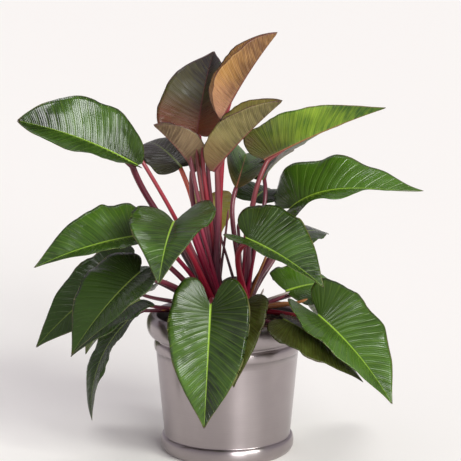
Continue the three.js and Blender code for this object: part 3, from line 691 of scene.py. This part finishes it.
# Blades. Leathery waxy sheets on a strong midrib, with side veins that sweep to the margin and
# quilt the face between them. The youngest are copper, brown and olive and still half folded.
# An outline goes from vein to vein, joint to tip: the station where a vein leaves the midrib, how
# wide the blade is there, and where the vein meets the margin, as shares of the length and width.
OUTLINES = {
    "heart": {
        "station": (0.0, 0.014, 0.03, 0.055, 0.11, 0.2, 0.33, 0.49, 0.68, 0.86, 0.985),
        "wide": (0.17, 0.48, 0.8, 0.97, 1.0, 0.95, 0.81, 0.6, 0.34, 0.12, 0.012),
        "margin": (-0.1, -0.17, -0.11, 0.02, 0.18, 0.34, 0.5, 0.66, 0.81, 0.93, 1.0),
    },
    "arrow": {
        "station": (0.0, 0.014, 0.03, 0.055, 0.1, 0.18, 0.3, 0.46, 0.66, 0.85, 0.985),
        "wide": (0.15, 0.4, 0.66, 0.88, 1.0, 0.95, 0.78, 0.54, 0.3, 0.12, 0.012),
        "margin": (-0.09, -0.15, -0.13, -0.07, 0.05, 0.2, 0.38, 0.58, 0.78, 0.92, 1.0),
    },
    "oblong": {
        "station": (0.0, 0.014, 0.04, 0.09, 0.16, 0.26, 0.38, 0.52, 0.69, 0.86, 0.985),
        "wide": (0.12, 0.36, 0.62, 0.82, 0.95, 1.0, 0.98, 0.86, 0.6, 0.28, 0.012),
        "margin": (-0.03, -0.01, 0.05, 0.14, 0.26, 0.38, 0.52, 0.67, 0.81, 0.93, 1.0),
    },
    "wedge": {
        "station": (0.0, 0.014, 0.04, 0.09, 0.16, 0.26, 0.38, 0.52, 0.69, 0.86, 0.985),
        "wide": (0.09, 0.21, 0.42, 0.7, 0.92, 1.0, 0.96, 0.82, 0.57, 0.26, 0.012),
        "margin": (-0.01, 0.01, 0.05, 0.13, 0.24, 0.37, 0.52, 0.67, 0.81, 0.93, 1.0),
    },
}
SIDE_VEINS = 24
VEIN_TURNS = math.pi * SIDE_VEINS
BLADE_GRID = {"Size X": 4.0, "Size Y": 1.0, "Vertices X": 65, "Vertices Y": 99}
BLADE_NUMBERS = (
    "Half Width, Arch, Hook, Twist, Left Fold, Right Fold, Curl, Wave Height, Waves, Left Lobe, Right Lobe, "
    "Ears, Quilting, Thickness, Keel, Seed, Tone, Left Tone"
).split(", ")
BLADE_VECTORS = ("Joint", "Chord", "Side", "Face")
QUILTING = {"green": 1.5, "dark": 1.5, "bright": 1.5}
YOUNG_QUILTING = 0.8
QUILT_ALLOWANCE = 0.2

blade_trees = {}
for shape, columns in OUTLINES.items():
    kinds = {**dict.fromkeys(BLADE_VECTORS, "Vector"), **dict.fromkeys(BLADE_NUMBERS, "Float")}
    tree, given = new_tree("blade_" + shape, {"Material": "Material", **kinds})
    g = {label.lower().replace(" ", "_"): socket for label, socket in given.items()}
    sheet = add(tree, "GeometryNodeMeshGrid", BLADE_GRID).outputs["Mesh"]
    spot = add(tree, "ShaderNodeSeparateXYZ", {0: add(tree, "GeometryNodeInputPosition").outputs[0]}).outputs
    g |= {"x": spot["X"], "y": spot["Y"], "mm": MM, "vein_turns": VEIN_TURNS}
    # x runs once round the closed blade: -1 to 1 is its upper face, the rest its under face
    work_out(tree, g, """
        row = y + 0.5
        hand = sign(x)
        right = hand * 0.5 + 0.5
        layer = sign(1.0001 - abs(x))
        share = most(1 - abs(1 - abs(x)), 0) ** 1.4
        across = hand * share
    """)
    for name, values in columns.items():
        # a smooth curve through one row of the outline
        curve = add(tree, "ShaderNodeFloatCurve", {"Value": g["row"]})
        curve.mapping.clip_min_y = -1.0
        curve.mapping.clip_max_y = 2.0
        points = curve.mapping.curves[0].points
        points[0].location = (0.0, values[0])
        points[1].location = (1.0, values[-1])
        for index, value in enumerate(values[1:-1], start=1):
            points.new(index / (len(values) - 1), value)
        curve.mapping.update()
        g[name] = curve.outputs[0]
    # a grown margin swings in and out by a few hundredths of the width, each half in its own way
    edge_place = add(tree, "ShaderNodeCombineXYZ", {
        "X": formula(tree, "hand * 3.1", **g), "Y": formula(tree, "row * 3.4", **g), "Z": g["seed"],
    }).outputs[0]
    swinging = {"Vector": edge_place, "Scale": 1.6, "Detail": 1.5}
    g["swing"] = add(tree, "ShaderNodeTexNoise", swinging).outputs["Fac"]
    work_out(tree, g, """
        lobe = left_lobe + (right_lobe - left_lobe) * right
        far = most(margin, 0) + least(margin, 0) * lobe
        reach = share * wide * half_width * (1 + 0.16 * (swing - 0.5) * share)
        rim = wide * half_width - reach
        u = station + (far - station) * share ** 1.2
        start = left_fold + (right_fold - left_fold) * right
        bend = curl / half_width + 0.00001
        angle = start + bend * reach
        out = (sin(angle) - sin(start)) / bend
        raised = (cos(start) - cos(angle)) / bend
        edge = reach / half_width
        ripple = wave_height * edge * edge * sin(6.2832 * (waves * u + 0.4 * right))
        ear = ears * edge * (most(0.06 - u, 0) / 0.23) ** 1.5
    """)
    # small unevenness of a grown leaf: a slow swell and a finer frill along the margin
    grown_place = add(tree, "ShaderNodeCombineXYZ", {
        "X": g["across"], "Y": formula(tree, "u * 2.2", **g), "Z": g["seed"],
    }).outputs[0]
    for name, scale in (("swell", 1.3), ("frill", 4.5)):
        g[name] = add(tree, "ShaderNodeTexNoise", {
            "Vector": grown_place, "Scale": scale, "Detail": 1.0,
        }).outputs["Fac"]
    # side veins lie in grooves of the upper face, and the face swells between them
    work_out(tree, g, """
        uneven = edge * (12 * (swell - 0.5) + 9 * edge * edge * (frill - 0.5))
        vein = abs(sin(vein_turns * row))
        closing = sqrt(most(1 - share ** 6, 0)) * sqrt(least(row * 40, 1)) * sqrt(least((1 - row) * 60, 1))
        fading = least(reach / 7, 1) * (1 - share ** 4) * least((1 - row) * 5, 1)
        quilt = quilting * (vein ** 0.5 - 0.6) * fading * (0.35 + 1.3 * swell)
        ridge = 2.718 ** (0 - (reach / (2.6 - 1.5 * u)) ** 2)
        rib = ridge * (0.5 * (1 + layer) * 0.7 + 0.5 * (1 - layer) * keel) * (1 - 0.8 * u)
        half_sheet = closing * layer * (thickness * 0.5 + rib)
        turned = twist * u
        outward = side * cos(turned) - face * sin(turned)
        tangent = chord + face * (4 * arch * (1 - 2 * u) + 10.4 * hook * (6 * u - 6 * u * u - 1))
        up = unit(cross(outward, tangent))
        middle = (right_fold - left_fold) * 0.5
        slope = middle + (hand * angle - middle) * least(reach / 2, 1)
        normal = up * cos(slope) - outward * sin(slope)
        rise = 4 * arch * u * (1 - u) + 10.4 * hook * u * (1 - u) * (2 * u - 1)
        midrib = joint + chord * u + face * rise
        half = outward * (hand * out) + up * (raised + ripple + ear + uneven)
        point = (midrib + half + normal * (quilt + half_sheet)) * mm
        half_tone = tone + left_tone * (0.5 - 0.5 * hand)
    """)
    # the stored tone is the leaf's own tone, with a painted shade darkening its left half
    marks, sizes = (
        add(tree, "ShaderNodeCombineXYZ", {axis: g[label] for axis, label in zip("XYZ", labels)}).outputs[0]
        for labels in (("across", "row", "u"), ("reach", "rim", "layer"))
    )
    for label, value in (("blade_marks", marks), ("blade_sizes", sizes), ("leaf_tone_and_painted_shade", g["half_tone"])):
        sheet = add(
            tree,
            "GeometryNodeStoreNamedAttribute",
            {"Geometry": sheet, "Name": label, "Value": value},
            data_type="FLOAT" if label == "leaf_tone_and_painted_shade" else "FLOAT_VECTOR",
        ).outputs[0]
    placed = add(tree, "GeometryNodeSetPosition", {"Geometry": sheet, "Position": g["point"]}).outputs[0]
    closed = add(tree, "GeometryNodeMergeByDistance", {"Geometry": placed, "Distance": 0.00002}).outputs[0]
    close_tree(tree, closed, given["Material"])
    blade_trees[shape] = tree

# Living leaf skin: a waxy cuticle over green flesh. It shines in broad soft lights on the upper
# face, with pale sunk veins 8 to 12 mm apart and finer ones between them, a pale midrib and a thin
# light margin. The under face is duller and paler. Light comes a little way through the flesh.
BLADES = {
    # upper face deep and lit, under face deep and lit, veins, midrib, foot, margin; then the roughness
    "green": ("#122008", "#426418", "#3E4A24", "#74803E", "#86A63A", "#A2C840", "#26360E", "#7E7A48", 0.13),
    "bright": ("#122C0A", "#4C741C", "#2E5210", "#84A028", "#B0BC48", "#A8604A", "#4A3A1A", "#7A5A38", 0.3),
    "dark": ("#0F1808", "#2C4016", "#2E2824", "#64584E", "#566E2E", "#849844", "#1A1E10", "#6A6448", 0.22),
    "shaded": ("#22180E", "#464E1C", "#2E2824", "#64584E", "#56702A", "#7A8C3C", "#1C120C", "#5A4A38", 0.26),
    "brown": ("#201A22", "#403C1E", "#4A2A1E", "#7C4A34", "#68622E", "#6A302C", "#7A341E", "#40181C", 0.34),
    "umber": ("#241E0E", "#4E4A20", "#5A4434", "#A88E6C", "#B0A078", "#8A4A4C", "#6A362C", "#5A3234", 0.34),
    "yellow": ("#A87C1A", "#F0B82C", "#8A8A30", "#C8B850", "#D8C850", "#D8CC64", "#A07A2C", "#9A8438", 0.3),
    "olive": ("#4E4A14", "#847830", "#3E3820", "#84784A", "#A0946A", "#8A3E44", "#6E4030", "#4C282C", 0.34),
    "copper": ("#6A3A16", "#A0762E", "#5E3A18", "#A6783A", "#D8B088", "#7A3A36", "#C08A72", "#5E3238", 0.3),
}
# the dark of a painted shadow in the grooves of a young leaf's side veins, beside the midrib
VEIN_SHADOW_COLOUR = "#3A1E1C"
TIP_COLOUR = "#4A2C1C"
# how strongly a skin shows its patches, streaks, outer part, foot, veins, their net and its margin; the
# patches and streaks are partly the leaf's own mottling and partly painted sheen and shade
GROWN = dict(patches=1.6, streaks=1.0, outer=0.1, footing=0.5, pale=0.3, net=0.1, edging=0.6, edge_width=1.0)
YOUNG = dict(patches=2.4, streaks=1.6, outer=0.5, footing=0.8, pale=0.25, net=0.6, edging=0.9, edge_width=1.8)
PATTERNS = dict.fromkeys(("brown", "umber", "olive", "copper"), YOUNG)
PATTERNS["bright"] = {**GROWN, "patches": 3.2, "streaks": 1.6, "footing": 0.8}

leaf_skin = {}
for name, (*colours, roughness) in BLADES.items():
    deep, lit, under_deep, under_lit, *markings = map(linear, colours)
    vein_colour, rib_colour, foot_colour, margin_colour = markings
    pattern = PATTERNS.get(name, GROWN)
    skin, tree, shader = finish_named("waxy_leaf_" + name, {
        "IOR": 1.42,
        "Specular IOR Level": 0.3 if name in ("dark", "shaded") else 0.5,
        "Coat Weight": 0.1,
        "Coat Roughness": 0.12,
        "Subsurface Weight": 0.05,
        "Subsurface Radius": (0.6, 1.0, 0.2),
        "Subsurface Scale": 0.002,
    })
    # the leaf's tone comes with the painted shade of its left half
    marks, sizes, own_tone_and_painted_shade = (
        add(tree, "ShaderNodeAttribute", attribute_name=label).outputs[kind]
        for label, kind in (("blade_marks", "Vector"), ("blade_sizes", "Vector"), ("leaf_tone_and_painted_shade", "Fac"))
    )
    mark = add(tree, "ShaderNodeSeparateXYZ", {0: marks}).outputs
    size = add(tree, "ShaderNodeSeparateXYZ", {0: sizes}).outputs
    k = {"row": mark["Y"], "u": mark["Z"], "reach": size["X"], "rim": size["Y"], "layer": size["Z"]}
    k |= {"own": own_tone_and_painted_shade, "vein_turns": VEIN_TURNS, "roughness": roughness, **pattern}
    place = add(tree, "ShaderNodeTexCoord").outputs["Object"]
    streak_place = add(tree, "ShaderNodeMapping", {"Vector": marks, "Scale": (1.2, 60.0, 0.0)}).outputs[0]
    for label, where, scale, detail in (
        ("mottle", place, 28.0, 4.0),
        ("fine", place, 420.0, 3.0),
        ("patch", place, 9.0, 2.0),
        ("streak", streak_place, 1.0, 3.0),
    ):
        k[label] = add(tree, "ShaderNodeTexNoise", {
            "Vector": where, "Scale": scale, "Detail": detail,
        }).outputs["Fac"]
    # the tone mixes the deep and lit colours by patches and streaks: partly the leaf's own mottling, partly
    # painted sheen and shade
    work_out(tree, k, """
        turn = abs(sin(vein_turns * row))
        vein = 1 - least(turn * 5, 1)
        minor = abs(sin(vein_turns * 4 * row))
        mixed = 0.8 * (mottle - 0.5) + patches * (patch - 0.5) + streaks * (streak - 0.5)
        tone = 0.42 + own + mixed + 0.14 * minor - 0.2 * vein + outer * (least(reach / 40, 1) - 0.5)
        under = 0.5 - 0.5 * layer
        foot = footing * most(1 - u / 0.4, 0) * (0.3 + 1.4 * mottle)
        veins = pale * vein * least(reach / 3, 1) * (0.4 + 1.2 * patch) + net * (minor * streak) ** 2
        rib = (0.85 - 0.55 * u) * most(1 - (reach / (2.7 - 2.1 * u)) ** 4, 0)
        edge = edging * most(1 - rim / edge_width, 0) ** 0.5 * least(reach / 6, 1)
        tip = 0.8 * most((u - 0.965) / 0.035, 0)
        worn = 0.6 * (patch - 0.4) ** 2 + 0.18 * (mottle - 0.5) + 0.5 * (streak - 0.5)
        gloss = roughness + worn + 0.12 * under
        relief = 0.6 * minor ** 0.5 + 0.9 * streak + 0.2 * fine - 0.8 * vein
    """)
    layers = [(k["foot"], foot_colour)]
    if pattern is YOUNG:
        # beside the midrib the side veins of a leaf that has just opened get dark bars: painted shadow in the
        # grooves along them
        vein_shadows = "0.75 * most(1 - reach / 20, 0) * most(1 - 3 * turn, 0) * least(reach / 3, 1)"
        layers += [(formula(tree, vein_shadows, **k), linear(VEIN_SHADOW_COLOUR))]
    layers += [(k["veins"], vein_colour), (k["rib"], rib_colour)]
    layers += [(k["edge"], margin_colour), (k["tip"], linear(TIP_COLOUR))]
    deep, lit = (
        add(
            tree, "ShaderNodeMix", {"Factor": k["under"], "A": upper, "B": lower}, data_type="RGBA"
        ).outputs["Result"]
        for upper, lower in ((deep, under_deep), (lit, under_lit))
    )
    flesh = deep
    for share, colour in [(k["tone"], lit), *layers]:
        flesh = add(
            tree, "ShaderNodeMix", {"Factor": share, "A": flesh, "B": colour}, data_type="RGBA"
        ).outputs["Result"]
    tree.links.new(flesh, shader.inputs["Base Color"])
    tree.links.new(k["gloss"], shader.inputs["Roughness"])
    bump = add(tree, "ShaderNodeBump", {"Height": k["relief"], "Strength": 0.7, "Distance": 0.0006})
    tree.links.new(bump.outputs["Normal"], shader.inputs["Normal"])
    leaf_skin[name] = skin

# some leaves are a little lighter or darker than their kind, or carry another kind's skin
TONES = {
    "east_arch": 0.45, "front": 0.22, "east_low": 0.3, "west_mid": 0.05, "west_low": 0.8,
    "west_low_back": 1.0, "east_low_under": 0.2, "centre_hang": 0.05, "back_up": -0.3,
    "front_right": 0.1, "west_high": -0.1, "back_left": -0.35, "east_high": -0.28,
    "east_centre": -0.2, "east_mid": 0.7,
}
ODD_SKINS = {"front_right": "shaded", "east_low_under": "shaded", "back_left": "shaded", "east_mid": "green"}
# PAINTED_SHADE_HALF darkens the colour of a leaf's left half: painted shade for the side that faces away from
# the light
PAINTED_SHADE_HALF = {"front": -0.6, "centre_hang": -0.12}
for number, leaf in enumerate(LEAVES):
    base, chord, side, face = midrib_of(leaf, 0)
    values = {
        "Material": leaf_skin[ODD_SKINS.get(leaf["name"], leaf["blade"])],
        "Joint": leaf["joint"],
        "Chord": chord,
        "Side": side,
        "Face": face,
        "Half Width": leaf["width"] / 2,
        "Arch": leaf["arch"],
        "Hook": leaf["hook"],
        "Twist": math.radians(leaf["twist"]),
        "Left Fold": math.radians(leaf["fold"][0]),
        "Right Fold": math.radians(leaf["fold"][1]),
        "Curl": math.radians(leaf["curl"]),
        "Wave Height": leaf["wave"][0],
        "Waves": leaf["wave"][1],
        "Left Lobe": leaf["lobes"][0],
        "Right Lobe": leaf["lobes"][1],
        "Ears": leaf["ears"],
        "Quilting": QUILTING.get(leaf["blade"], YOUNG_QUILTING),
        "Thickness": BLADE_THICKNESS - QUILT_ALLOWANCE,
        "Keel": RIB_DEPTH,
        "Seed": number * 3.7,
        "Tone": TONES.get(leaf["name"], chance.uniform(-0.14, 0.14)),
        "Left Tone": PAINTED_SHADE_HALF.get(leaf["name"], 0),
    }
    blade = grown("leaf_" + leaf["name"], blade_trees[leaf["shape"]], values)
    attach(blade, "root")
    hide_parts("blade_" + leaf["name"])


# The studio: a plain pale floor out to the horizon, soft lights and the photograph's camera.
FLOOR_REACH = 30
PHOTO_WIDTH = 461
FOCAL_LENGTH = 1711
PITCH_DOWN = 10.19
floor_paint, tree, shader = finish_named(
    "matt_white_floor", {"Base Color": linear("#FAF8F3"), "Roughness": 0.9, "Specular IOR Level": 0.1}
)
floor_mesh = bpy.data.meshes.new("studio_floor")
corners = [(x * FLOOR_REACH, y * FLOOR_REACH, 0) for x, y in ((-1, -1), (1, -1), (1, 1), (-1, 1))]
floor_mesh.from_pydata(corners, [], [(0, 1, 2, 3)])
floor_mesh.materials.append(floor_paint)
floor = bpy.data.objects.new("studio_floor", floor_mesh)
bpy.context.scene.collection.objects.link(floor)

sky = bpy.data.worlds.new("studio_air")
sky.use_nodes = True
sky.node_tree.nodes["Background"].inputs["Color"].default_value = (0.98, 0.91, 1.0, 1)
sky.node_tree.nodes["Background"].inputs["Strength"].default_value = 0.43
bpy.context.scene.world = sky

# each light shines from its side on the whole plant: where from, how bright, how wide in degrees
for name, side, power, width, colour in (
    ("window_light", (2.3, -2.1, 1.65), 1.75, 22, (0.97, 1.0, 0.95)),
    ("front_light", (0.95, -2.5, 0.9), 1.75, 24, (1.0, 1.0, 1.0)),
    ("roof_light", (-0.4, 0.9, 3), 0.55, 18, (1.0, 1.0, 1.0)),
):
    light = bpy.data.lights.new(name, "SUN")
    light.energy = power
    light.angle = math.radians(width)
    light.color = colour
    stand = bpy.data.objects.new(name, light)
    stand.location = side
    stand.rotation_euler = (-Vector(side)).to_track_quat("-Z", "Y").to_euler()
    bpy.context.scene.collection.objects.link(stand)

lens = bpy.data.cameras.new("photo_camera")
lens.sensor_width = 36
lens.lens = lens.sensor_width * FOCAL_LENGTH / PHOTO_WIDTH
camera = bpy.data.objects.new("photo_camera", lens)
camera.location = (0.0057, -2.9, 0.909)
camera.rotation_euler = (math.radians(90 - PITCH_DOWN), 0, 0)
bpy.context.scene.collection.objects.link(camera)
bpy.context.scene.camera = camera
bpy.context.scene.view_settings.view_transform = "Standard"
